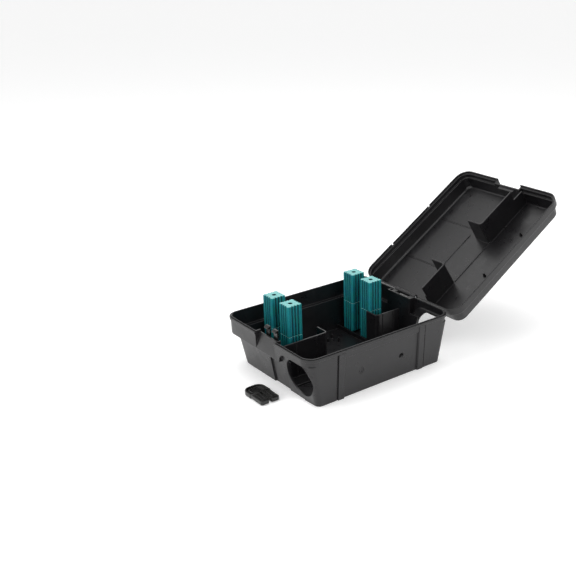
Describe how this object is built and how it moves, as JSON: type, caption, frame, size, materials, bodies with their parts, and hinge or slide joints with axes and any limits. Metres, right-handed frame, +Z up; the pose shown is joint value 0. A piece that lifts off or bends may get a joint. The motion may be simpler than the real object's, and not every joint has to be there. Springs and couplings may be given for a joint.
{
  "type": "bait station",
  "caption": "Rodent bait station: moulded tub with an entry tunnel, a hinged locking lid with baffles, upright rods carrying fluted bait blocks, and a loose forked key.",
  "frame": {"origin": "centre of the tub's underside", "axes": "+Z up, -Y towards the lock side, +Y towards the hinge, +X towards the entry tunnel"},
  "size_m": [0.2176, 0.537, 0.2147],
  "materials": {
    "charcoal_plastic": "satin moulded polypropylene, charcoal",
    "black_gloss_plastic": "glossy black acetal",
    "steel": "plain drawn wire",
    "bait_wax": "pressed waxy bait, teal, grainy"
  },
  "bodies": {
    "tub": {"base_tub": "charcoal_plastic", "hinge_pin": "steel", "lock_frame": "black_gloss_plastic", "anchor_hole_plug": "charcoal_plastic", "bait_rod_front_left": "steel", "bait_rod_front_right": "steel", "bait_rod_back_left": "steel", "bait_rod_back_right": "steel"},
    "lid": {"lid": "charcoal_plastic"},
    "finger_left": {"latch_finger_left": "black_gloss_plastic"},
    "finger_right": {"latch_finger_right": "black_gloss_plastic"},
    "key": {"key": "black_gloss_plastic"},
    "block_front_left_lower": {"bait_block_front_left_lower": "bait_wax"},
    "block_front_left_upper": {"bait_block_front_left_upper": "bait_wax"},
    "block_front_right_lower": {"bait_block_front_right_lower": "bait_wax"},
    "block_front_right_upper": {"bait_block_front_right_upper": "bait_wax"},
    "block_back_left_lower": {"bait_block_back_left_lower": "bait_wax"},
    "block_back_left_upper": {"bait_block_back_left_upper": "bait_wax"},
    "block_back_right_lower": {"bait_block_back_right_lower": "bait_wax"},
    "block_back_right_upper": {"bait_block_back_right_upper": "bait_wax"}
  },
  "joints": [
    {"name": "lid_hinge", "type": "hinge", "parent": "tub", "child": "lid", "pos_m": [0, 0.133, 0.0735], "axis": [-1, 0, 0], "range_deg": [-148, 0]},
    {"name": "finger_left_flex", "type": "hinge", "parent": "tub", "child": "finger_left", "pos_m": [-0.0097, -0.1155, 0.052], "axis": [-1, 0, 0], "range_deg": [0, 6], "stiffness_Nm_per_rad": 0.5},
    {"name": "finger_right_flex", "type": "hinge", "parent": "tub", "child": "finger_right", "pos_m": [0.0097, -0.1155, 0.052], "axis": [-1, 0, 0], "range_deg": [0, 6], "stiffness_Nm_per_rad": 0.5},
    {"name": "block_front_left_lower_lift", "type": "slide", "parent": "tub", "child": "block_front_left_lower", "axis": [0, 0, 1], "range_m": [0, 0.096]},
    {"name": "block_front_left_upper_lift", "type": "slide", "parent": "block_front_left_lower", "child": "block_front_left_upper", "axis": [0, 0, 1], "range_m": [0, 0.052]},
    {"name": "block_front_right_lower_lift", "type": "slide", "parent": "tub", "child": "block_front_right_lower", "axis": [0, 0, 1], "range_m": [0, 0.096]},
    {"name": "block_front_right_upper_lift", "type": "slide", "parent": "block_front_right_lower", "child": "block_front_right_upper", "axis": [0, 0, 1], "range_m": [0, 0.052]},
    {"name": "block_back_left_lower_lift", "type": "slide", "parent": "tub", "child": "block_back_left_lower", "axis": [0, 0, 1], "range_m": [0, 0.096]},
    {"name": "block_back_left_upper_lift", "type": "slide", "parent": "block_back_left_lower", "child": "block_back_left_upper", "axis": [0, 0, 1], "range_m": [0, 0.052]},
    {"name": "block_back_right_lower_lift", "type": "slide", "parent": "tub", "child": "block_back_right_lower", "axis": [0, 0, 1], "range_m": [0, 0.096]},
    {"name": "block_back_right_upper_lift", "type": "slide", "parent": "block_back_right_lower", "child": "block_back_right_upper", "axis": [0, 0, 1], "range_m": [0, 0.052]},
    {"name": "key_lift", "type": "slide", "parent": "tub", "child": "key", "axis": [0, 0, 1], "range_m": [0, 0.06]}
  ]
}
